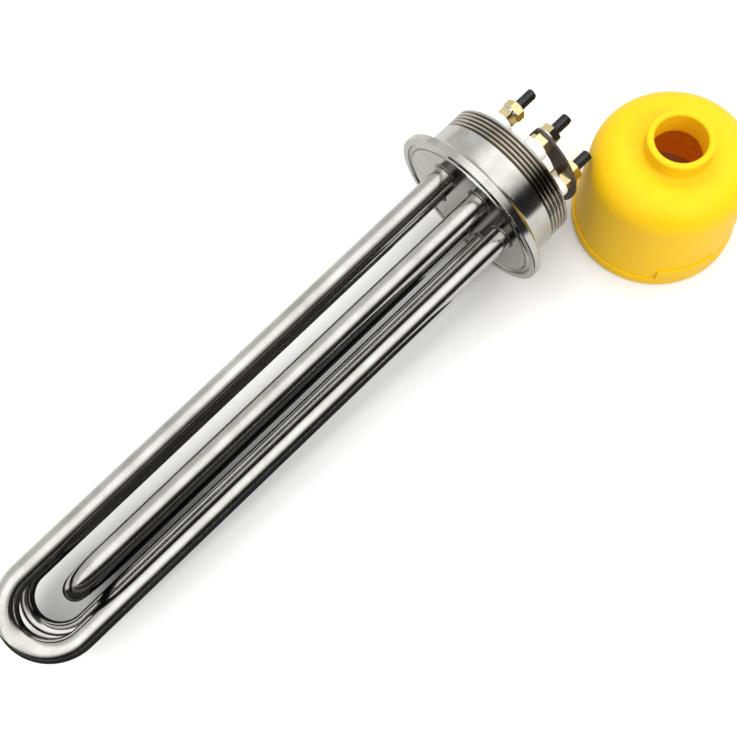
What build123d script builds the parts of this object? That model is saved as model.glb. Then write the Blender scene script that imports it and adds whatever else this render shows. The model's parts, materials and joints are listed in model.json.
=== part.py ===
"""Flange immersion heater: three hairpin elements in a clamp ferrule, with its screw cap beside it.

The heater lies on a bench (z = 0) the way it comes to rest: on the rim of its ferrule, on the
rear hairpin and on the cross hairpin. Its axis points along +X and rises slightly. Heights along
that axis are measured from the sealing face of the ferrule, positive towards the terminals.
Lengths are in millimetres.
"""

import os
from math import acos, atan, atan2, cos, degrees, hypot, radians, sin, sqrt, tan

from build123d import *

# Ferrule, tube sheet and collar, turned from one piece
rim_radius = 32.0            # 2 inch clamp ferrule, 64 mm over the rim
rim_thickness = 2.85
rim_taper = 20.0             # degrees, back of the rim, where the clamp wedges
rim_edge = 0.3
groove_land = 2.35           # rim left outside the gasket groove
groove_half_width = 1.25
collar_radius = 26.5
collar_length = 22.0         # sealing face to the open end
collar_chamfer = 0.5
neck_fillet = 2.4
bore_radius = 22.6
sheet_thickness = 4.0        # wall that the tubes are welded into
sheet_corner = 1.5

# Thread of collar and cap
thread_pitch = 1.5
thread_turns = 5
thread_depth = 0.8
thread_crest = 0.2           # flat left on each crest
thread_clearance = 0.25      # radial, between collar and cap

# Hairpins
tube_radius = 4.0
tube_wall = 0.8
terminal_radius = 17.2       # circle on which all six tube ends stand
front_spacing = 28.2         # between the two legs of one hairpin
rear_spacing = 25.4
long_reach = 208.0           # sealing face to the far side of the bend
cross_reach = 187.0
cross_turn = 11.0            # degrees, rear cross leg turned towards the two lower legs
tube_end = 19.0              # where the tubes stop inside the collar
coil_radius = 1.7
pin_radius = 1.2             # unheated end of each coil
pin_reach = 45.0             # from the sealing face down into the tube
pin_socket = 5.0

# Terminals, in the order in which things sit on a stud
stud_radius = 2.0            # M4
stud_chamfer = 0.4
stud_tip = 42.0
stud_clearance = 0.05        # radial, in nuts and bushes
bush_radius = 4.6
bush_height = 8.3
bush_plug = 8.0              # part of the bush inside the tube
bush_clearance = 0.05
bush_edge = 0.5
nut_across_flats = 7.0
nut_height = 3.1
nut_chamfer = 30.0           # degrees
nut_turn = 17.0              # degrees from one nut to the next, where each came tight
link_thickness = 0.8
link_inner_radius = 12.2
link_edge = 4.6              # plate left around the outer studs
link_corner = 4.2
link_inner_corner = 1.0
flat_washer_radius = 4.5
flat_washer_height = 0.6
spring_washer_radius = 3.6
spring_washer_height = 0.8
spring_washer_slit = 0.6
washer_clearance = 0.15

# Cap, moulded in one piece
cap_gap = 0.5                # between its outside and what stands nearest to it
cap_heading = -49.0          # degrees, from the front lower stud to the cap, seen from above
cap_height = 51.5
cap_wall = 2.4
cap_base_radius = 29.8
cap_lip = 0.4                # step of the lip and the pad over the side
cap_lip_height = 4.0
cap_shoulder_radius = 27.6
cap_shoulder_round = 11.0
cap_pad_height = 10.0
cap_pad_angle = 42.0
cap_pad_heading = -117.0     # middle of the raised pad, seen from above
cap_thread_lead = 1.2        # plain mouth below the first turn
cap_neck_height = 7.0
cap_neck_radius = 11.4
cap_neck_bore = 8.9
cap_neck_root = 1.8
cap_edge = 0.8

# How the heater comes to rest: rim, rear leg and cross leg touch the bench together
turn = radians(cross_turn)
cross_spacing = 2 * terminal_radius * cos(turn / 2)
front_rise = sqrt(terminal_radius**2 - (front_spacing / 2) ** 2)
rear_drop = sqrt(terminal_radius**2 - (rear_spacing / 2) ** 2)
rear_leg = long_reach - tube_radius - rear_spacing / 2
cross_leg = cross_reach - tube_radius - cross_spacing / 2
leg_ratio = rear_leg / cross_leg
rim_over_tube = rim_radius - tube_radius
lean = leg_ratio * terminal_radius * cos(turn) - rear_drop
spread = rear_spacing / 2 - leg_ratio * terminal_radius * sin(turn)
roll = acos(rim_over_tube * (leg_ratio - 1) / hypot(lean, spread)) - atan2(spread, lean)
tilt = atan((rim_over_tube - terminal_radius * cos(roll - turn)) / cross_leg)

axis_way = Vector(cos(tilt), 0, sin(tilt))
level_way = Vector(0, -1, 0)
rise_way = level_way.cross(axis_way)
up_way = rise_way * cos(roll) + level_way * sin(roll)       # towards the front cross leg
low_way = axis_way.cross(up_way)                            # towards the two lower legs

terminals = {
    "front_upper": (front_rise, -front_spacing / 2),
    "cross_front": (terminal_radius, 0),
    "front_lower": (front_rise, front_spacing / 2),
    "rear_lower": (-rear_drop, rear_spacing / 2),
    "cross_rear": (-terminal_radius * cos(turn), terminal_radius * sin(turn)),
    "rear_upper": (-rear_drop, -rear_spacing / 2),
}
linked = ("cross_front", "front_lower", "rear_lower")

# Heights of what is stacked on a stud
plug_foot = tube_end - bush_plug
lower_nut_foot = tube_end + bush_height
link_foot = lower_nut_foot + nut_height
link_top = link_foot + link_thickness
upper_nut_top = link_top + flat_washer_height + nut_height

nut_corner = nut_across_flats / 2 / cos(radians(30))
link_radius = terminal_radius + link_edge
link_end = degrees(atan2(terminals["rear_lower"][1], terminals["rear_lower"][0]))


def from_face(height, place):
    """Way from the middle of the sealing face to a point of the heater."""
    return axis_way * height + up_way * place[0] + low_way * place[1]


# The cap stands on a line from the front lower stud, clear of the studs, their nuts and the link
cap_top = cap_height - cap_neck_height
round_foot = cap_top - cap_shoulder_round
cap_way = Vector(cos(radians(cap_heading)), sin(radians(cap_heading)))


def cap_radius_at(height):
    over_foot = height - round_foot
    if over_foot < 0:
        return cap_base_radius - (cap_base_radius - cap_shoulder_radius) * height / cap_top
    return cap_shoulder_radius - cap_shoulder_round + sqrt(max(cap_shoulder_round**2 - over_foot**2, 0))


neighbours = [(stud_tip, place, stud_radius) for place in terminals.values()]
neighbours += [(upper_nut_top, place, nut_corner) for place in terminals.values()]
for step in range(7):
    angle = radians(link_end * step / 6)
    neighbours.append((link_top, (link_radius * cos(angle), link_radius * sin(angle)), 0))

near_tip = from_face(stud_tip, terminals["front_lower"])
tip_to_cap = 0
for height, place, half_width in neighbours:
    spot = from_face(height, place)
    lower_side = rim_radius * cos(tilt) + spot.Z - half_width * sin(radians(30))
    room = cap_radius_at(lower_side) + half_width * cos(radians(30)) + cap_gap
    away = spot - near_tip
    along = away.X * cap_way.X + away.Y * cap_way.Y
    sideways = away.X * cap_way.Y - away.Y * cap_way.X
    if room > abs(sideways):
        tip_to_cap = max(tip_to_cap, along + sqrt(room**2 - sideways**2))
cap_ahead = near_tip.X + tip_to_cap * cap_way.X
cap_beside = -near_tip.Y - tip_to_cap * cap_way.Y

# The origin is below the middle of the whole, on the bench
far_end = long_reach * cos(tilt) + front_rise * sin(tilt)
heater_x = (far_end - cap_ahead - cap_base_radius) / 2
heater_y = (cap_beside + cap_base_radius - rim_radius) / 2
face_middle = Vector(heater_x, heater_y, rim_radius * cos(tilt))


def across(height=0.0, place=(0, 0)):
    """Plane square to the heater axis, with x towards the front cross leg."""
    return Plane(face_middle + from_face(height, place), x_dir=up_way, z_dir=axis_way)


def lengthways(place=(0, 0)):
    """Plane through a line along the axis: x outwards, y towards the terminals."""
    return Plane(across(0, place).origin, x_dir=up_way, z_dir=low_way * -1)


def line_at(place=(0, 0)):
    return Axis(across(0, place).origin, axis_way)


def v_grooves(radius, depth, first):
    """Corner points of the thread's ring grooves, each cut from one crest to the next."""
    points = []
    for turn in range(thread_turns):
        crest = first + turn * thread_pitch
        points += [
            (radius, crest + thread_crest / 2),
            (radius + depth, crest + thread_pitch / 2),
            (radius, crest + thread_pitch - thread_crest / 2),
        ]
    return points


def corner_near(sketch, point):
    return sketch.vertices().sort_by_distance(Vector(*point))[0]


def finish(piece, name):
    piece.part.label = name
    export_step(piece.part, f"parts/{name}.step")


os.makedirs("parts", exist_ok=True)


# Flange body
thread_top = collar_length - collar_chamfer - thread_crest
thread_foot = thread_top - thread_turns * thread_pitch
groove_radius = rim_radius - groove_land - groove_half_width
taper_rise = (rim_radius - collar_radius) * tan(radians(rim_taper))
neck = (collar_radius, rim_thickness + taper_rise)

with BuildPart() as flange_body:
    with BuildSketch(lengthways()) as turned:
        with BuildLine():
            Polyline((0, sheet_thickness), (0, 0), (groove_radius - groove_half_width, 0))
            ThreePointArc(
                (groove_radius - groove_half_width, 0),
                (groove_radius, groove_half_width),
                (groove_radius + groove_half_width, 0),
            )
            Polyline(
                (groove_radius + groove_half_width, 0),
                (rim_radius, 0),
                (rim_radius, rim_thickness),
                neck,
                *v_grooves(collar_radius, -thread_depth, thread_foot),
                (collar_radius, collar_length - collar_chamfer),
                (collar_radius - collar_chamfer, collar_length),
                (bore_radius, collar_length),
                (bore_radius, sheet_thickness),
                (0, sheet_thickness),
            )
        make_face()
        fillet(corner_near(turned, neck), neck_fillet)
        fillet(corner_near(turned, (bore_radius, sheet_thickness)), sheet_corner)
        fillet(corner_near(turned, (rim_radius, 0)), rim_edge)
        fillet(corner_near(turned, (rim_radius, rim_thickness)), rim_edge)
    revolve(axis=line_at())
    with BuildSketch(across()):
        with Locations(*terminals.values()):
            Circle(tube_radius)
    extrude(amount=sheet_thickness, mode=Mode.SUBTRACT)
finish(flange_body, "flange_body")


# Hairpins: tube, powder and coil share one centre line
def hairpin(plane, half_spacing, leg, end, outer, inner=0.0):
    """Round section swept down one leg, round the bend and up the other, from height end."""
    with BuildPart() as swept:
        with BuildLine(plane) as route:
            Line((half_spacing, end), (half_spacing, -leg))
            ThreePointArc((half_spacing, -leg), (0, -leg - half_spacing), (-half_spacing, -leg))
            Line((-half_spacing, -leg), (-half_spacing, end))
        with BuildSketch(Plane(plane.from_local_coords((half_spacing, end)), z_dir=axis_way)):
            Circle(outer)
            if inner:
                Circle(inner, mode=Mode.SUBTRACT)
        sweep(path=route.line)
    return swept.part


def hairpin_plane(first, last):
    """Plane through two terminals: x from the last to the first, y towards the terminals."""
    start, end = across(0, terminals[first]).origin, across(0, terminals[last]).origin
    first_way = (start - end).normalized()
    return Plane((start + end) / 2, x_dir=first_way, z_dir=first_way.cross(axis_way))


hairpins = {
    "front": (hairpin_plane("front_lower", "front_upper"), front_spacing / 2, long_reach),
    "rear": (hairpin_plane("rear_lower", "rear_upper"), rear_spacing / 2, long_reach),
    "cross": (hairpin_plane("cross_front", "cross_rear"), cross_spacing / 2, cross_reach),
}
tube_bore = tube_radius - tube_wall

for name, (plane, half_spacing, reach) in hairpins.items():
    leg = reach - tube_radius - half_spacing
    pin_planes = [Plane(plane.from_local_coords((side, plug_foot)), z_dir=axis_way * -1)
                  for side in (half_spacing, -half_spacing)]

    with BuildPart() as sheath:
        add(hairpin(plane, half_spacing, leg, tube_end, tube_radius, tube_bore))
    finish(sheath, f"sheath_{name}")

    with BuildPart() as magnesia:
        add(hairpin(plane, half_spacing, leg, plug_foot, tube_bore))
        add(hairpin(plane, half_spacing, leg, -pin_reach + pin_socket, coil_radius), mode=Mode.SUBTRACT)
        for pin_plane in pin_planes:
            with BuildSketch(pin_plane):
                Circle(pin_radius)
            extrude(amount=plug_foot + pin_reach, mode=Mode.SUBTRACT)
    finish(magnesia, f"magnesia_{name}")

    with BuildPart() as coil:
        add(hairpin(plane, half_spacing, leg, -pin_reach + pin_socket, coil_radius))
        for pin_plane in pin_planes:
            with BuildSketch(pin_plane):
                Circle(pin_radius)
            extrude(amount=plug_foot + pin_reach, mode=Mode.SUBTRACT)
    finish(coil, f"coil_{name}")


# Terminals
def washer(name, place, foot, radius, height, slit=0.0):
    with BuildPart() as ring:
        with BuildSketch(across(foot, place)):
            Circle(radius)
            Circle(stud_radius + washer_clearance, mode=Mode.SUBTRACT)
            if slit:
                with Locations((radius, 0)):
                    Rectangle(2 * radius - 2 * stud_radius, slit, mode=Mode.SUBTRACT)
        extrude(amount=height)
    finish(ring, name)


def nut(name, place, foot, turn):
    drop = (nut_corner - nut_across_flats / 2) * tan(radians(nut_chamfer))
    with BuildPart() as hexagon:
        with BuildSketch(across(foot, place)):
            RegularPolygon(nut_across_flats / 2, 6, major_radius=False, rotation=turn)
            Circle(stud_radius + stud_clearance, mode=Mode.SUBTRACT)
        extrude(amount=nut_height)
        with BuildSketch(lengthways(place)):
            with BuildLine():
                Polyline(
                    (0, foot),
                    (nut_across_flats / 2, foot),
                    (nut_corner, foot + drop),
                    (nut_corner, foot + nut_height - drop),
                    (nut_across_flats / 2, foot + nut_height),
                    (0, foot + nut_height),
                    close=True,
                )
            make_face()
        revolve(axis=line_at(place), mode=Mode.INTERSECT)
    finish(hexagon, name)


for index, (name, place) in enumerate(terminals.items()):
    with BuildPart() as stud:
        with BuildSketch(lengthways(place)):
            with BuildLine():
                Polyline(
                    (0, -pin_reach),
                    (pin_radius, -pin_reach),
                    (pin_radius, plug_foot),
                    (stud_radius, plug_foot),
                    (stud_radius, stud_tip - stud_chamfer),
                    (stud_radius - stud_chamfer, stud_tip),
                    (0, stud_tip),
                    close=True,
                )
            make_face()
        revolve(axis=line_at(place))
    finish(stud, f"stud_{name}")

    with BuildPart() as bush:
        with BuildSketch(across(tube_end, place)):
            Circle(bush_radius)
        extrude(amount=bush_height)
        fillet(bush.edges().group_by(SortBy.LENGTH)[-1], bush_edge)
        with BuildSketch(across(plug_foot, place)):
            Circle(tube_bore - bush_clearance)
        extrude(amount=bush_plug)
        with BuildSketch(across(plug_foot, place)):
            Circle(stud_radius + stud_clearance)
        extrude(amount=bush_plug + bush_height, mode=Mode.SUBTRACT)
    finish(bush, f"bush_{name}")

    nut(f"lower_nut_{name}", place, lower_nut_foot, index * nut_turn)
    if name in linked:
        foot = link_top
        washer(f"flat_washer_{name}", place, foot, flat_washer_radius, flat_washer_height)
        foot += flat_washer_height
    else:
        foot = link_foot
        washer(f"spring_washer_{name}", place, foot, spring_washer_radius, spring_washer_height,
               spring_washer_slit)
        foot += spring_washer_height
    nut(f"upper_nut_{name}", place, foot, (index + 2) * nut_turn)


# Star link: a flat plate cut as a ring sector round the three joined studs
with BuildPart() as star_link:
    with BuildSketch(across(link_foot)) as blank:
        Circle(link_radius)
        Circle(link_inner_radius, mode=Mode.SUBTRACT)
        with Locations((0, link_radius - link_edge)):
            Rectangle(4 * link_radius, 2 * link_radius, mode=Mode.INTERSECT)
        with Locations(Location((0, 0, 0), link_end) * Location((0, link_edge - link_radius, 0))):
            Rectangle(4 * link_radius, 2 * link_radius, mode=Mode.INTERSECT)
        outer_corners = blank.vertices().group_by(lambda v: round(hypot(v.X, v.Y), 3))[-1]
        inner_corners = blank.vertices().group_by(lambda v: round(hypot(v.X, v.Y), 3))[0]
        fillet(outer_corners, link_corner)
        fillet(inner_corners, link_inner_corner)
        with Locations(*[terminals[name] for name in linked]):
            Circle(stud_radius + washer_clearance, mode=Mode.SUBTRACT)
    extrude(amount=link_thickness)
finish(star_link, "star_link")


# Cap: one moulding, standing on its mouth
cap_foot = Plane((heater_x + cap_ahead, heater_y - cap_beside, 0))
cap_axis = Axis(cap_foot.origin, (0, 0, 1))
cap_section = Plane(cap_foot.origin, x_dir=(1, 0, 0), z_dir=(0, -1, 0))
side_foot = cap_base_radius - cap_lip
cap_minor = collar_radius - thread_depth + thread_clearance
cap_major = collar_radius + thread_clearance
cap_thread_top = cap_thread_lead + thread_turns * thread_pitch + thread_pitch

with BuildPart() as terminal_cap:
    with BuildSketch(cap_section) as moulded:
        with BuildLine():
            Polyline(
                (cap_minor, cap_thread_top),
                *reversed(v_grooves(cap_minor, cap_major - cap_minor, cap_thread_lead)),
                (cap_minor, cap_thread_lead / 2),
                (cap_minor + cap_thread_lead / 2, 0),
                (side_foot, 0),
                (cap_shoulder_radius, cap_top),
                (cap_neck_radius, cap_top),
                (cap_neck_radius, cap_height),
                (cap_neck_bore, cap_height),
                (cap_neck_bore, cap_top - cap_wall),
                (cap_shoulder_radius - cap_wall, cap_top - cap_wall),
                (side_foot - cap_wall, cap_thread_top + cap_wall),
                close=True,
            )
        make_face()
        fillet(corner_near(moulded, (cap_shoulder_radius, cap_top)), cap_shoulder_round)
        inner_shoulder = (cap_shoulder_radius - cap_wall, cap_top - cap_wall)
        fillet(corner_near(moulded, inner_shoulder), cap_shoulder_round - cap_wall)
        fillet(corner_near(moulded, (cap_neck_radius, cap_top)), cap_neck_root)
        fillet(corner_near(moulded, (cap_neck_radius, cap_height)), cap_edge)
        fillet(corner_near(moulded, (cap_neck_bore, cap_height)), cap_edge)
    revolve(axis=cap_axis)
    with BuildSketch(cap_foot):
        Circle(cap_base_radius)
        Circle(side_foot - cap_lip, mode=Mode.SUBTRACT)
    extrude(amount=cap_lip_height)
    pad_start = cap_pad_heading - cap_pad_angle / 2
    pad_plane = Plane(
        cap_foot.origin,
        x_dir=Vector(1, 0, 0).rotate(cap_axis, pad_start),
        z_dir=Vector(0, -1, 0).rotate(cap_axis, pad_start),
    )
    with BuildSketch(pad_plane):
        with Locations((cap_base_radius, 0)):
            Rectangle(3 * cap_lip, cap_pad_height, align=(Align.MAX, Align.MIN))
    revolve(axis=cap_axis, revolution_arc=cap_pad_angle)
finish(terminal_cap, "terminal_cap")
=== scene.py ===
# %% [markdown]
# # A flange immersion heater and its screw cap
#
# The object is an electric heater for brewing kettles and small tanks. Three tubes bent into
# hairpins are welded into a steel ferrule. Behind the ferrule a threaded collar holds six
# terminals, and a yellow moulded cap, here unscrewed and put down beside it, covers them.
#
# This file adds what CAD leaves out: the screw threads of the studs, the weld beads, every
# finish, the light and the camera. All lengths are in metres.

# %% Load the frame
import json
from math import cos, pi, radians, sin

import bpy
from mathutils import Matrix, Vector

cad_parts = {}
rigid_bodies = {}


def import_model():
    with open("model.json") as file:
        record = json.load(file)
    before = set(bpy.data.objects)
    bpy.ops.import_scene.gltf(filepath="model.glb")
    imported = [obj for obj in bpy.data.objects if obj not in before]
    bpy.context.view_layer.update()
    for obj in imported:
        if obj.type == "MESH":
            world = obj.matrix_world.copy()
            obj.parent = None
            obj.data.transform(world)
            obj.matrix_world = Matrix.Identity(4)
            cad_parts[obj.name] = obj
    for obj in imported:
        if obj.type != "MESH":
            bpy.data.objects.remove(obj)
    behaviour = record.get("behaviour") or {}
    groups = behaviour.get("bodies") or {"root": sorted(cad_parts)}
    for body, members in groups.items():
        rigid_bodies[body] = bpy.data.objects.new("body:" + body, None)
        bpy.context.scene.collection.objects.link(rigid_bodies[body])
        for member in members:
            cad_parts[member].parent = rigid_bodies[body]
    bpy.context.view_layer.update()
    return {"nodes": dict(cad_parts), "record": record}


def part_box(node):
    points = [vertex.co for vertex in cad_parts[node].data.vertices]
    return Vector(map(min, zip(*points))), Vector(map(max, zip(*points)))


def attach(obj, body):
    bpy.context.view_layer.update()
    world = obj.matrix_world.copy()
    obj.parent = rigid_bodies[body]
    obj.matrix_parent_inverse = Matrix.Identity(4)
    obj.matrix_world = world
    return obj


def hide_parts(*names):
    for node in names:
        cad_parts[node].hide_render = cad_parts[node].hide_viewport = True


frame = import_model()
nodes = frame["nodes"]
mm = 0.001
print("solids from CAD:", len(nodes))

# %% [markdown]
# ## Where the heater lies
#
# The heater is not square to the world. It rests on the rim of its ferrule and on two of its
# tubes, so its axis rises a little towards the ferrule and it has rolled to one side. The
# record names the sealing face with its centre and its outward normal, which gives the axis. The
# two terminals of the front hairpin lie evenly to both sides of one line from the axis, and that
# line is taken as the heater's own way up.

# %% Axis and roll of the heater
mounts = {mount["name"]: mount for mount in frame["record"]["mounts"]}
face_middle = Vector(mounts["sealing_face"]["pos_m"])
axis_way = -Vector(mounts["sealing_face"]["axis"]).normalized()


def middle_of(node):
    low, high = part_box(node)
    return (low + high) / 2


def offset_of(terminal):
    """From the axis to a terminal, square to the axis."""
    away = middle_of("lower_nut_" + terminal) - face_middle
    return away - axis_way * away.dot(axis_way)


up_way = (offset_of("front_upper") + offset_of("front_lower")).normalized()
low_way = axis_way.cross(up_way)
heater_turn = Matrix((up_way, low_way, axis_way)).transposed()
heater_place = Matrix.Translation(face_middle) @ heater_turn.to_4x4()
print("axis", [round(v, 4) for v in axis_way], "face", [round(v / mm, 1) for v in face_middle])

# %% [markdown]
# ## Camera
#
# The photograph looks steeply down on the bench, and the camera is turned in its own plane, so
# the tubes run from the lower left to the upper right. It can be placed by three angles and a
# distance from one point on the bench, which is easier to adjust than six loose numbers. The
# lens follows from how much nearer parts grow: the rim of the ferrule against the far bends.

# %% Camera
aim_left_of_face, aim_near_of_face = 58.3 * mm, 7.9 * mm
camera_distance = 363.4 * mm
camera_down = radians(70.88)
camera_heading = radians(31.29)
camera_roll = radians(-12.85)
lens_length, sensor_width = 48.44, 36

aim_point = Vector((face_middle.x - aim_left_of_face, face_middle.y - aim_near_of_face, 0))
look = Vector((sin(camera_heading) * cos(camera_down), cos(camera_heading) * cos(camera_down),
               -sin(camera_down)))
camera_data = bpy.data.cameras.new("camera")
camera_data.sensor_width = sensor_width
camera_data.lens = lens_length
camera_data.clip_start = 10 * mm
camera = bpy.data.objects.new("camera", camera_data)
bpy.context.scene.collection.objects.link(camera)
level = look.to_track_quat("-Z", "Y").to_matrix().to_4x4()
stand = Matrix.Translation(aim_point - look * camera_distance)
camera.matrix_world = stand @ level @ Matrix.Rotation(camera_roll, 4, "Z")
bpy.context.scene.camera = camera
bpy.context.scene.view_settings.view_transform = "Standard"
print("camera at", [round(v / mm) for v in camera.location])

# %% [markdown]
# ## Small helpers for node materials
#
# Every finish below is a node material. A few helpers keep the cells short: one adds a node and
# sets its inputs, one does a sum, one spreads a range of values over 0 to 1, one looks a value
# up in a row of colours, and one mixes two colours.

# %% Node helpers
def add_node(tree, kind, inputs=None, **settings):
    node = tree.nodes.new(kind)
    for key, value in settings.items():
        setattr(node, key, value)
    for key, value in (inputs or {}).items():
        if isinstance(value, bpy.types.NodeSocket):
            tree.links.new(value, node.inputs[key])
        else:
            node.inputs[key].default_value = value
    return node


def math(tree, operation, first, second=0.5, third=0.5):
    node = add_node(tree, "ShaderNodeMath", {0: first, 1: second, 2: third}, operation=operation)
    return node.outputs[0]


def spread(tree, value, low, high):
    """The value as 0 at low and below, 1 at high and beyond."""
    return add_node(tree, "ShaderNodeMapRange", {0: value, 1: low, 2: high}).outputs[0]


def ramp(tree, value, stops):
    node = add_node(tree, "ShaderNodeValToRGB", {"Fac": value})
    while len(node.color_ramp.elements) < len(stops):
        node.color_ramp.elements.new(0.5)
    for element, (position, colour) in zip(node.color_ramp.elements, stops):
        element.position = position
        element.color = colour
    return node.outputs["Color"]


def blend(tree, factor, first, second):
    """Two colours mixed. A Mix node for colours has its sockets at these numbers."""
    return add_node(tree, "ShaderNodeMix", {0: factor, 6: first, 7: second}, data_type="RGBA").outputs[2]


def grey(value):
    return (value, value, value, 1)


print("node helpers ready")

# %% [markdown]
# A node group has to be told its inputs and outputs by name before anything is wired inside. A
# material starts with one shader whose plain values are set by name, and each piece is given
# its finish in every slot it has.

# %% Groups, materials and pieces
def new_group(name, inputs, outputs):
    tree = bpy.data.node_groups.new(name, "ShaderNodeTree")
    for label, kind, value in inputs:
        tree.interface.new_socket(label, in_out="INPUT", socket_type=kind).default_value = value
    for label, kind in outputs:
        tree.interface.new_socket(label, in_out="OUTPUT", socket_type=kind)
    return tree, tree.nodes.new("NodeGroupInput").outputs, tree.nodes.new("NodeGroupOutput").inputs


def new_material(name, **constants):
    material = bpy.data.materials.new(name)
    material.use_nodes = True
    tree = material.node_tree
    shader = tree.nodes["Principled BSDF"]
    for label, value in constants.items():
        shader.inputs[label.replace("_", " ")].default_value = value
    return material, tree, shader


def give(material, *names):
    for name in names:
        piece = nodes.get(name) or bpy.data.objects[name]
        if not piece.material_slots:
            piece.data.materials.append(material)
        for slot in piece.material_slots:
            slot.material = material
    print(material.name, "->", ", ".join(names[:3]), "..." if len(names) > 3 else "")


print("material helpers ready")

# %% [markdown]
# ## Floor and background
#
# The photograph was cut out on pure white. A sheet of pale grey paper under an even white world
# comes near that, and still lets the shadow show a little. The paper glows faintly for rays that
# come straight from the camera, which lifts it to the white of the background. The glow fades
# where the Ambient Occlusion node finds the paper hemmed in, as it is under the standing cap,
# or the paper would shine up through the cap's neck. That fading also paints a soft shade on the
# paper under and between the tubes.

# %% Floor
floor_radius, floor_drop = 2.5, 0.3 * mm
hemmed_in_within = 60 * mm
paper_glow = 0.50

bpy.ops.object.select_all(action="DESELECT")
bpy.ops.mesh.primitive_circle_add(vertices=96, radius=floor_radius, fill_type="NGON",
                                  location=(0, 0, -floor_drop))
floor = bpy.context.object
floor.name = "bench"
paper, tree, shader = new_material("bench_paper", Roughness=0.9, Specular_IOR_Level=0.1,
                                   Base_Color=(0.60, 0.60, 0.59, 1), Emission_Color=grey(1))
seen = add_node(tree, "ShaderNodeLightPath").outputs["Is Camera Ray"]
open_sky = add_node(tree, "ShaderNodeAmbientOcclusion", {"Distance": hemmed_in_within}, samples=16)
# painted shade: the glow dies away where the paper is hemmed in, under the cap and by the tubes
glow = ramp(tree, open_sky.outputs["AO"], [(0.2, grey(0)), (0.88, grey(1))])
strength = math(tree, "MULTIPLY", seen, math(tree, "MULTIPLY", glow, paper_glow))
tree.links.new(strength, shader.inputs["Emission Strength"])
floor.data.materials.append(paper)
print("floor radius", floor_radius)

# %% [markdown]
# Polished tubes need something dark to mirror, or their edges melt into the paper. A black card,
# as photographers lay beside such things, here stands in for the paper in the tubes' own shadow:
# painted shade that reaches from the near side to under the tubes, stops short of the ferrule,
# and shows only in mirror-like reflections.

# %% Black card
card_drop = 0.2 * mm
card_near, card_far = -0.80, face_middle.y + 24 * mm
card_left, card_right = -0.90, face_middle.x - 18 * mm
card_middle = ((card_left + card_right) / 2, (card_near + card_far) / 2, -card_drop)

bpy.ops.mesh.primitive_plane_add(size=1, location=card_middle)
card = bpy.context.object
card.name = "shade_card"
card.scale = (card_right - card_left, card_far - card_near, 1)
bpy.ops.object.transform_apply(location=False, rotation=False, scale=True)
# painted shade: a near-black sheet for the shaded paper under and beside the tubes
black, tree, shader = new_material("shade_card_black", Roughness=0.9, Specular_IOR_Level=0.1,
                                   Base_Color=(0.02, 0.02, 0.02, 1))
card.data.materials.append(black)
card.visible_camera = False
card.visible_diffuse = False
card.visible_shadow = False
card.visible_transmission = False
print("card up to y =", round(card_far / mm, 1), "mm")

# %% [markdown]
# ## Light
#
# Polished steel has hardly a colour of its own: it shows the room. The photograph's tubes are
# white along the top and nearly black along their lower right side, so the room was bright
# overhead, greyer on the far side, and dark low on the near side. Panels could stand for that,
# but a world whose brightness depends on the direction gives the same bands with no objects at
# all. The numbers below go round from straight down (0) past the near side (0.25), overhead
# (0.5) and the far side (0.75). The camera itself sees plain white.

# %% World
room_strength = 2.0
room_bands = [
    (0.00, grey(0.25)), (0.24, grey(0.010)), (0.355, grey(0.012)), (0.395, grey(0.42)),
    (0.44, grey(0.76)), (0.55, grey(0.76)), (0.61, grey(0.40)), (0.75, grey(0.34)),
]

world = bpy.data.worlds.new("studio")
bpy.context.scene.world = world
world.use_nodes = True
tree = world.node_tree
sky_way = add_node(tree, "ShaderNodeTexCoord").outputs["Generated"]
direction = add_node(tree, "ShaderNodeSeparateXYZ", {"Vector": sky_way}).outputs
side = math(tree, "ARCTAN2", direction["Y"], direction["Z"])
way_round = math(tree, "MULTIPLY_ADD", side, 1 / (2 * pi), 0.5)
bands = ramp(tree, way_round, room_bands)
seen = add_node(tree, "ShaderNodeLightPath").outputs["Is Camera Ray"]
room = add_node(tree, "ShaderNodeBackground", {"Color": bands, "Strength": room_strength}).outputs[0]
white = add_node(tree, "ShaderNodeBackground", {"Color": grey(1), "Strength": 1.0}).outputs[0]
mixed = add_node(tree, "ShaderNodeMixShader", {0: seen, 1: room, 2: white}).outputs[0]
tree.links.new(mixed, tree.nodes["World Output"].inputs["Surface"])
print("bands round the room:", len(room_bands))

# %% [markdown]
# The cap and the paper aren't polished, so they need light from somewhere in particular to look
# round. Two broad, soft lamps do that, one from each side. They are hidden from mirror-like
# rays, or the tubes would show them as bright squares.

# %% Lamps
def add_lamp(name, place, size, power):
    """A soft lamp aimed at the object that lights it but doesn't show in the polished metal."""
    data = bpy.data.lights.new(name, "AREA")
    data.shape = "SQUARE"
    data.size = size
    data.energy = power
    lamp = bpy.data.objects.new(name, data)
    bpy.context.scene.collection.objects.link(lamp)
    lamp.matrix_world = Matrix.Translation(place) @ (-place).to_track_quat("-Z", "Y").to_matrix().to_4x4()
    lamp.visible_glossy = False
    print(name, power, "W")


add_lamp("far_side", place=Vector((0.30, 0.60, 0.90)), size=0.6, power=4.0)
add_lamp("near_side", place=Vector((0.10, -0.75, 0.55)), size=0.7, power=5.5)

# %% [markdown]
# ## Stud with a real thread
#
# Each terminal is a threaded M4 stud. The CAD stud is a smooth bar, and a bump map could draw a
# thread on it, but its outline would stay smooth. So the stud is modelled once with a real
# thread. First comes the core: a cylinder as shank, which sits in the bush, inset and extruded
# upwards to a thinner, bevelled core for the thread, and downwards to the pin inside the tube.
# Heights count from the sealing face.

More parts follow.
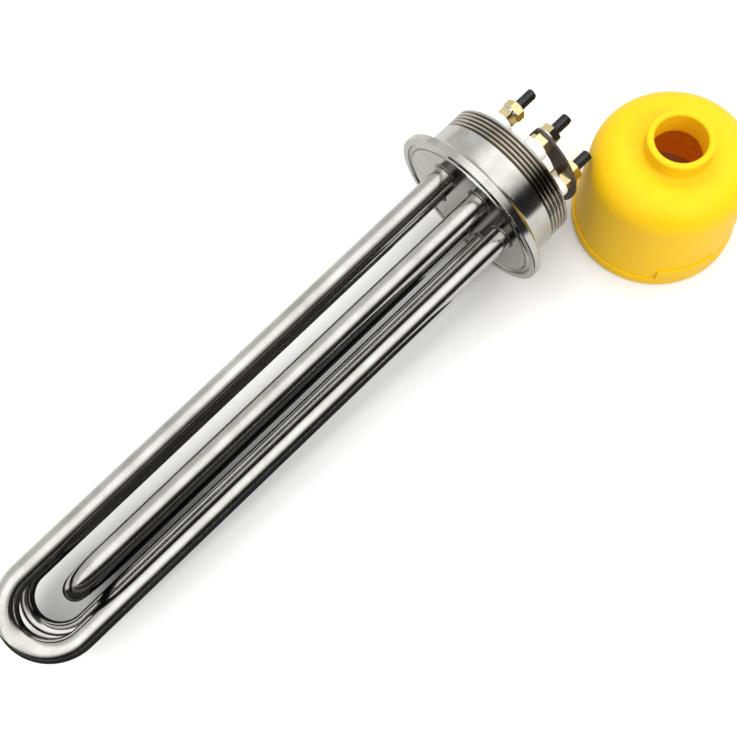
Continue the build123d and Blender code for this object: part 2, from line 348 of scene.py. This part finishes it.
# %% Core of the stud
stud_radius, core_radius, pin_radius = 2.0 * mm, 1.76 * mm, 1.2 * mm
pin_foot, shank_foot, thread_foot, stud_tip = -45 * mm, 11 * mm, 24.5 * mm, 42 * mm
tip_bevel, hairs_breadth = 0.35 * mm, 0.01 * mm


def deselect_all():
    if bpy.context.mode != "OBJECT":
        bpy.ops.object.mode_set(mode="OBJECT")
    bpy.ops.object.select_all(action="DESELECT")


def pick_faces(piece, test):
    """Goes into edit mode with only those faces selected whose middle passes the test."""
    bpy.ops.object.mode_set(mode="EDIT")
    bpy.ops.mesh.select_mode(type="FACE")
    bpy.ops.mesh.select_all(action="DESELECT")
    bpy.ops.object.mode_set(mode="OBJECT")
    for face in piece.data.polygons:
        face.select = test(face.center)
    bpy.ops.object.mode_set(mode="EDIT")


deselect_all()
bpy.ops.mesh.primitive_cylinder_add(vertices=32, radius=stud_radius, depth=thread_foot - shank_foot,
                                    location=(0, 0, (thread_foot + shank_foot) / 2))
bpy.ops.object.transform_apply(location=True, rotation=True, scale=True)
stud_pattern = bpy.context.object
pick_faces(stud_pattern, lambda middle: middle.z > thread_foot - hairs_breadth)
bpy.ops.mesh.inset(thickness=stud_radius - core_radius)
bpy.ops.mesh.extrude_region_move(TRANSFORM_OT_translate={"value": (0, 0, stud_tip - thread_foot)})
bpy.ops.mesh.bevel(offset=tip_bevel, segments=2)
pick_faces(stud_pattern, lambda middle: middle.z < shank_foot + hairs_breadth)
bpy.ops.mesh.inset(thickness=stud_radius - pin_radius)
bpy.ops.mesh.extrude_region_move(TRANSFORM_OT_translate={"value": (0, 0, pin_foot - shank_foot)})
bpy.ops.object.mode_set(mode="OBJECT")
print("stud core faces", len(stud_pattern.data.polygons))

# %% [markdown]
# The thread is a ridge wound round the core by the Screw modifier, one pitch higher with every
# turn, 0.7 mm as on a metric M4 thread. The ridge is a hexagon in section, so it has sloping
# flanks and a narrow flat crest, and the crests can catch the light. Its two open ends are
# then closed.

# %% Ridge of the thread
pitch, turns, steps_in_a_turn = 0.7 * mm, 24, 20
ridge_radius = 0.30 * mm
ridge_middle, ridge_foot = core_radius - 0.02 * mm, thread_foot + 0.4 * mm

deselect_all()
bpy.ops.mesh.primitive_circle_add(vertices=6, radius=ridge_radius, fill_type="NOTHING",
                                  location=(ridge_middle, 0, ridge_foot), rotation=(radians(90), 0, 0))
bpy.ops.object.transform_apply(location=True, rotation=True, scale=True)
ridge = bpy.context.object
wind = ridge.modifiers.new("wind", "SCREW")
wind.axis = "Z"
wind.angle = 2 * pi
wind.screw_offset = pitch
wind.iterations = turns
wind.steps = wind.render_steps = steps_in_a_turn
wind.use_merge_vertices = False
bpy.ops.object.modifier_apply(modifier="wind")
bpy.ops.object.mode_set(mode="EDIT")
bpy.ops.mesh.select_all(action="DESELECT")
bpy.ops.mesh.select_mode(type="EDGE")
bpy.ops.mesh.select_non_manifold()
bpy.ops.mesh.edge_face_add()
bpy.ops.mesh.select_all(action="SELECT")
bpy.ops.mesh.normals_make_consistent(inside=False)
bpy.ops.object.mode_set(mode="OBJECT")
ridge_top = max(corner.co.z for corner in ridge.data.vertices)
print("ridge faces", len(ridge.data.polygons), "top", round(ridge_top / mm, 2), "mm")

# %% [markdown]
# The ridge and the core become one piece. The pattern is then copied to each terminal, and each
# copy has its own mesh, moved into place, because a finished piece keeps its place in its mesh.
# Each stud is turned a little further than the last, so that no two threads start alike.

# %% Six studs
terminals = ["front_upper", "cross_front", "front_lower", "rear_lower", "cross_rear", "rear_upper"]
terminal_place = {name: Matrix.Translation(offset_of(name)) @ heater_place for name in terminals}
stud_turn = 1.1


def put_in_place(pattern, name, matrix):
    """A copy of the pattern that is moved by the matrix and rides on the heater."""
    piece = pattern.copy()
    piece.data = pattern.data.copy()
    piece.name = piece.data.name = name
    piece.data.transform(matrix)
    bpy.context.scene.collection.objects.link(piece)
    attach(piece, "heater")
    return piece


deselect_all()
ridge.select_set(True)
stud_pattern.select_set(True)
bpy.context.view_layer.objects.active = stud_pattern
bpy.ops.object.join()
bpy.ops.object.shade_smooth_by_angle(angle=radians(30))
for index, name in enumerate(terminals):
    turned = terminal_place[name] @ Matrix.Rotation(index * stud_turn, 4, "Z")
    stud = put_in_place(stud_pattern, "threaded_stud_" + name, turned)
    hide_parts("stud_" + name)
print("studs", len(terminals), "with", len(stud_pattern.data.polygons), "faces each")
bpy.data.objects.remove(stud_pattern)

# %% [markdown]
# ## Weld beads
#
# Where each tube goes into the face it is welded all round, and the photograph shows a small
# uneven ring there. A torus, pressed flat on to the face and roughened by a cloud texture
# through a Displace modifier, reads as such a bead.

# %% Bead pattern
bead_radius, bead_thickness, bead_flatness = 4.2 * mm, 0.75 * mm, 0.6
ripple_size, ripple_height = 1.3 * mm, 0.35 * mm

deselect_all()
bpy.ops.mesh.primitive_torus_add(major_segments=72, minor_segments=12, major_radius=bead_radius,
                                 minor_radius=bead_thickness)
bead_pattern = bpy.context.object
bpy.ops.object.mode_set(mode="EDIT")
bpy.ops.mesh.select_all(action="SELECT")
bpy.ops.transform.resize(value=(1, 1, bead_flatness))
bpy.ops.object.mode_set(mode="OBJECT")
ripple = bpy.data.textures.new("bead_ripple", "CLOUDS")
ripple.noise_scale = ripple_size
swell = bead_pattern.modifiers.new("swell", "DISPLACE")
swell.texture = ripple
swell.strength = ripple_height
swell.mid_level = 0.5
bpy.ops.object.modifier_apply(modifier="swell")
bpy.ops.object.shade_smooth_by_angle(angle=radians(60))
print("bead faces", len(bead_pattern.data.polygons))

# %% [markdown]
# One bead goes round each of the six tube ends. They could share one mesh as it is, but the eye
# soon finds the same bump six times, so each copy is turned to show another side.

# %% Six weld beads
bead_turn = 0.9
for index, name in enumerate(terminals):
    turned = terminal_place[name] @ Matrix.Rotation(index * bead_turn, 4, "Z")
    put_in_place(bead_pattern, "weld_bead_" + name, turned)
bpy.data.objects.remove(bead_pattern)
print("beads", len(terminals))

# %% [markdown]
# ## Two effects that many finishes share
#
# No real surface has one colour and one gloss. A node group is built once and placed in each
# material with its own numbers, like a stamp. The first group, grain, turns one noise into a
# colour between two ends, a roughness between two ends and a height for the Bump node.

# %% Grain group
grain, given, result = new_group("grain", [
    ("Vector", "NodeSocketVector", (0, 0, 0)), ("Scale", "NodeSocketFloat", 500),
    ("Dark", "NodeSocketColor", grey(0)), ("Light", "NodeSocketColor", grey(1)),
    ("Smooth", "NodeSocketFloat", 0.2), ("Rough", "NodeSocketFloat", 0.4),
], [("Color", "NodeSocketColor"), ("Roughness", "NodeSocketFloat"), ("Height", "NodeSocketFloat")])
noise = add_node(grain, "ShaderNodeTexNoise", {"Vector": given["Vector"], "Scale": given["Scale"],
                                               "Detail": 6, "Roughness": 0.62}).outputs[0]
grain.links.new(blend(grain, spread(grain, noise, 0.3, 0.7), given["Dark"], given["Light"]), result["Color"])
gloss = math(grain, "MULTIPLY", noise, math(grain, "SUBTRACT", given["Rough"], given["Smooth"]))
grain.links.new(math(grain, "ADD", gloss, given["Smooth"]), result["Roughness"])
grain.links.new(noise, result["Height"])
print("grain nodes", len(grain.nodes))

# %% [markdown]
# Steel that has been handled has hairline scratches. They could be painted by hand, but a noise
# pulled long in one direction and cut off high leaves only thin streaks, and looks the same at
# any size. The second group does that once along and once across, and puts out their mask.

# %% Scratch group
scratches, given, result = new_group("scratches", [
    ("Vector", "NodeSocketVector", (0, 0, 0)), ("Scale", "NodeSocketFloat", 400),
    ("Amount", "NodeSocketFloat", 0.5),
], [("Mask", "NodeSocketFloat")])
streaks = []
for pull, turn in (((1, 1, 0.06), radians(20)), ((0.07, 1, 1), radians(65))):
    pulled = add_node(scratches, "ShaderNodeMapping", {"Vector": given["Vector"], "Scale": pull,
                                                       "Rotation": (turn, turn, 0)}).outputs[0]
    long_noise = add_node(scratches, "ShaderNodeTexNoise",
                          {"Vector": pulled, "Scale": given["Scale"], "Detail": 2}).outputs[0]
    streaks.append(spread(scratches, long_noise, 0.64, 0.70))
both = math(scratches, "MAXIMUM", streaks[0], streaks[1])
scratches.links.new(math(scratches, "MULTIPLY", both, given["Amount"]), result["Mask"])
print("scratch nodes", len(scratches.nodes))

# %% [markdown]
# These helpers place the two groups in a material and wire up what they need. A Mapping node of
# the Texture kind turns Object coordinates into the heater's own: z along the axis, x and y
# across. The last helper paints shade into reflections: it darkens a colour where other metal
# mirrors it, because the photograph shows the tubes nearly black in each other.

# %% Helpers that place the effects
def object_coordinates(tree):
    return add_node(tree, "ShaderNodeTexCoord").outputs["Object"]


def heater_coordinates(tree):
    place = add_node(tree, "ShaderNodeMapping", {
        "Vector": object_coordinates(tree), "Location": face_middle, "Rotation": heater_turn.to_euler(),
    }, vector_type="TEXTURE")
    return place.outputs[0]


def grained(tree, where, scale, dark, light, smooth, rough):
    return add_node(tree, "ShaderNodeGroup", {
        "Vector": where, "Scale": scale, "Dark": (*dark, 1), "Light": (*light, 1),
        "Smooth": smooth, "Rough": rough,
    }, node_tree=grain).outputs


def scratched(tree, where, scale, amount):
    group = add_node(tree, "ShaderNodeGroup", {"Vector": where, "Scale": scale, "Amount": amount},
                     node_tree=scratches)
    return group.outputs["Mask"]


def painted_shade_in_mirrors(tree, colour, amount, dull):
    """The colour as the camera sees it, and nearer to the dull one, a painted shade, where other metal
    mirrors it.
    """
    mirrored = add_node(tree, "ShaderNodeLightPath").outputs["Is Glossy Ray"]
    return blend(tree, math(tree, "MULTIPLY", mirrored, amount), colour, dull)


def raised(tree, shader, height, strength, depth):
    bump = add_node(tree, "ShaderNodeBump", {"Height": height, "Strength": strength, "Distance": depth})
    tree.links.new(bump.outputs[0], shader.inputs["Normal"])


print("effect helpers ready")

# %% [markdown]
# ## Stainless steel
#
# The ferrule and collar were turned on a lathe, so they carry fine rings round their axis. A
# noise that depends only on the distance from the axis and on the height gives rings on the
# flat face and on the round side alike. The same two numbers find the grooves of the collar's
# thread, where brown grime has settled: deeper than the crests, but not as deep as the bore.

# %% Turned steel
crest_radius, thread_low, thread_high = 26.5 * mm, 13.5 * mm, 21.6 * mm
clean_depth, filled_depth, deepest = 0.08 * mm, 0.45 * mm, 1.2 * mm
grime, grime_amount = (0.17, 0.125, 0.065, 1), 0.85
bright_nick = (0.80, 0.79, 0.75, 1)

turned_steel, tree, shader = new_material("turned_steel", Metallic=1.0)
own = heater_coordinates(tree)
axes = add_node(tree, "ShaderNodeSeparateXYZ", {0: own}).outputs
across_squared = math(tree, "MULTIPLY_ADD", axes[0], axes[0], math(tree, "MULTIPLY", axes[1], axes[1]))
across = math(tree, "SQRT", across_squared)
rings = add_node(tree, "ShaderNodeTexNoise", {
    "W": math(tree, "ADD", across, axes[2]), "Scale": 2600, "Detail": 4, "Roughness": 0.7,
}, noise_dimensions="1D").outputs[0]
mottle = grained(tree, own, scale=160, dark=(0.52, 0.51, 0.475), light=(0.68, 0.67, 0.63),
                 smooth=0.06, rough=0.28)
nicks = scratched(tree, own, scale=500, amount=0.25)
worn = blend(tree, nicks, mottle["Color"], bright_nick)
depth = spread(tree, across, crest_radius - clean_depth, crest_radius - filled_depth)
outside_bore = math(tree, "GREATER_THAN", across, crest_radius - deepest)
above_foot = math(tree, "GREATER_THAN", axes[2], thread_low)
below_top = math(tree, "LESS_THAN", axes[2], thread_high)
in_groove = math(tree, "MULTIPLY", depth, outside_bore)
groove = math(tree, "MULTIPLY", in_groove, math(tree, "MULTIPLY", above_foot, below_top))
dirt = math(tree, "MULTIPLY", groove, grime_amount)
tree.links.new(blend(tree, dirt, worn, grime), shader.inputs["Base Color"])
tree.links.new(math(tree, "MULTIPLY_ADD", nicks, 0.2, mottle["Roughness"]), shader.inputs["Roughness"])
raised(tree, shader, math(tree, "MULTIPLY_ADD", nicks, -0.4, rings), strength=0.25, depth=0.02 * mm)
give(turned_steel, "flange_body")

# %% [markdown]
# The tubes were drawn through a die and bent, and have since been in hot water. They show fine
# lines along their length, a cloudy stain and small scratches. The lines are a noise that
# changes quickly across the heater and slowly along it. What one tube mirrors of the next is
# nearly black in the photograph, so shade is painted into the colour for mirrored rays.

# %% Drawn tube
lines_across, lines_along = 1500, 14
tube_shade_in_mirrors = (0.04, 0.038, 0.032, 1)

drawn_tube, tree, shader = new_material("drawn_tube", Metallic=1.0)
own = heater_coordinates(tree)
stretched = add_node(tree, "ShaderNodeVectorMath", {0: own, 1: (lines_across, lines_across, lines_along)},
                     operation="MULTIPLY").outputs[0]
lines = add_node(tree, "ShaderNodeTexNoise", {"Vector": stretched, "Scale": 1, "Detail": 3}).outputs[0]
stain = grained(tree, own, scale=90, dark=(0.47, 0.465, 0.435), light=(0.68, 0.67, 0.635),
                smooth=0.05, rough=0.24)
nicks = scratched(tree, own, scale=420, amount=0.15)
worn = blend(tree, nicks, stain["Color"], bright_nick)
# painted shade: the tube turns dark where other metal mirrors it
colour = painted_shade_in_mirrors(tree, worn, amount=0.85, dull=tube_shade_in_mirrors)
tree.links.new(colour, shader.inputs["Base Color"])
tree.links.new(math(tree, "MULTIPLY_ADD", nicks, 0.25, stain["Roughness"]), shader.inputs["Roughness"])
raised(tree, shader, lines, strength=0.2, depth=0.02 * mm)
give(drawn_tube, "sheath_front", "sheath_rear", "sheath_cross")

# %% [markdown]
# Weld metal cools with a dull, scaly skin that is darker than the steel beside it. The grain
# group alone gives that, with its two colours set far apart.

# %% Weld metal
weld_metal, tree, shader = new_material("weld_metal", Metallic=1.0)
heat = grained(tree, heater_coordinates(tree), scale=700, dark=(0.10, 0.097, 0.09),
               light=(0.44, 0.43, 0.41), smooth=0.2, rough=0.5)
tree.links.new(heat["Color"], shader.inputs["Base Color"])
tree.links.new(heat["Roughness"], shader.inputs["Roughness"])
raised(tree, shader, heat["Height"], strength=0.3, depth=0.05 * mm)
give(weld_metal, *["weld_bead_" + name for name in terminals])

# %% [markdown]
# ## Terminals
#
# Black oxide on the studs, bright brass nuts, zinc plated washers, white ceramic bushes and a
# brown lacquered link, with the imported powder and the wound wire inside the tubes. They are
# small, so each gets a fine pattern at its own scale. The numbers are that scale, the dark and
# the light colour, and the lowest and highest roughness that one noise goes between.

# %% Terminal finishes
def speckled(name, scale, dark, light, smooth, rough, strength=0.1, **constants):
    material, tree, shader = new_material(name, **constants)
    surface = grained(tree, object_coordinates(tree), scale, dark, light, smooth, rough)
    tree.links.new(surface["Color"], shader.inputs["Base Color"])
    tree.links.new(surface["Roughness"], shader.inputs["Roughness"])
    raised(tree, shader, surface["Height"], strength, depth=0.01 * mm)
    return material


black_oxide = speckled("black_oxide", 1800, (0.035, 0.035, 0.036), (0.15, 0.15, 0.155), 0.10, 0.26,
                       Metallic=0.9)
brass = speckled("brass", 900, (0.80, 0.62, 0.29), (0.93, 0.80, 0.48), 0.08, 0.24, Metallic=1.0)
zinc = speckled("zinc", 1200, (0.55, 0.55, 0.54), (0.75, 0.75, 0.73), 0.2, 0.45, Metallic=1.0)
ceramic = speckled("ceramic", 700, (0.78, 0.76, 0.71), (0.88, 0.87, 0.84), 0.25, 0.4)
brown_lacquer = speckled("brown_lacquer", 600, (0.046, 0.034, 0.026), (0.085, 0.066, 0.051), 0.28, 0.48)
powder = speckled("packed_powder", 2500, (0.62, 0.60, 0.55), (0.80, 0.78, 0.74), 0.8, 0.95, strength=0.5)
wire = speckled("coil_wire", 2500, (0.20, 0.18, 0.16), (0.36, 0.33, 0.30), 0.35, 0.6, Metallic=1.0)
give(black_oxide, *["threaded_stud_" + name for name in terminals], *["stud_" + name for name in terminals])
give(brass, *["upper_nut_" + name for name in terminals], *["lower_nut_" + name for name in terminals])
give(zinc, *[name for name in nodes if "washer" in name])
give(ceramic, *["bush_" + name for name in terminals])
give(brown_lacquer, "star_link")
give(powder, "magnesia_front", "magnesia_rear", "magnesia_cross")
give(wire, "coil_front", "coil_rear", "coil_cross")

# %% [markdown]
# ## Yellow cap
#
# The cap is a hard moulding with a satin skin. A noise at two scales gives the slight orange
# peel of the mould and a faint unevenness of the gloss. Steel beside it mirrors it only faintly,
# so shade is painted into its colour for mirrored rays.

# %% Cap
cap_shade_in_mirrors = (0.20, 0.12, 0.02, 1)

cap_yellow, tree, shader = new_material("cap_yellow", Coat_Weight=0.04, Coat_Roughness=0.25,
                                        Specular_IOR_Level=0.18)
where = add_node(tree, "ShaderNodeTexCoord").outputs
cloud = grained(tree, where["Object"], scale=60, dark=(0.89, 0.525, 0.006), light=(0.93, 0.58, 0.008),
                smooth=0.32, rough=0.5)
peel = add_node(tree, "ShaderNodeTexNoise", {"Vector": where["Object"], "Scale": 1100,
                                             "Detail": 3}).outputs[0]
# painted shade: the yellow turns a dark brown where other metal mirrors it
colour = painted_shade_in_mirrors(tree, cloud["Color"], amount=0.6, dull=cap_shade_in_mirrors)
tree.links.new(colour, shader.inputs["Base Color"])
tree.links.new(cloud["Roughness"], shader.inputs["Roughness"])
raised(tree, shader, peel, strength=0.12, depth=0.03 * mm)
give(cap_yellow, "terminal_cap")

# %% [markdown]
# The cap's wall lets a little light through, so inside it is not black but a deep orange brown.
# Light that passes through a wall is slow to render, and a faint glow looks the same here. The
# inner faces are those whose normal points back at the cap's upright axis, and their glow fades
# out up the neck, where daylight comes in.

# %% Glow inside the cap
glow_full_below, glow_none_above, glow_strength = 38 * mm, 48 * mm, 0.16
facing_inwards = -1 * mm

cap_middle = middle_of("terminal_cap")
from_middle = add_node(tree, "ShaderNodeVectorMath", {0: where["Object"], 1: cap_middle},
                       operation="SUBTRACT").outputs[0]
from_axis = add_node(tree, "ShaderNodeVectorMath", {0: from_middle, 1: (1, 1, 0)},
                     operation="MULTIPLY").outputs[0]
facing = add_node(tree, "ShaderNodeVectorMath", {0: from_axis, 1: where["Normal"]},
                  operation="DOT_PRODUCT").outputs["Value"]
height = add_node(tree, "ShaderNodeSeparateXYZ", {0: where["Object"]}).outputs["Z"]
below_neck = spread(tree, height, glow_none_above, glow_full_below)
inside = math(tree, "MULTIPLY", math(tree, "LESS_THAN", facing, facing_inwards), below_neck)
shader.inputs["Emission Color"].default_value = (0.50, 0.075, 0.003, 1)
tree.links.new(math(tree, "MULTIPLY", inside, glow_strength), shader.inputs["Emission Strength"])
print("glow below", glow_full_below / mm, "mm, none above", glow_none_above / mm, "mm")

# %% [markdown]
# ## Finish
#

# %% Finish
deselect_all()
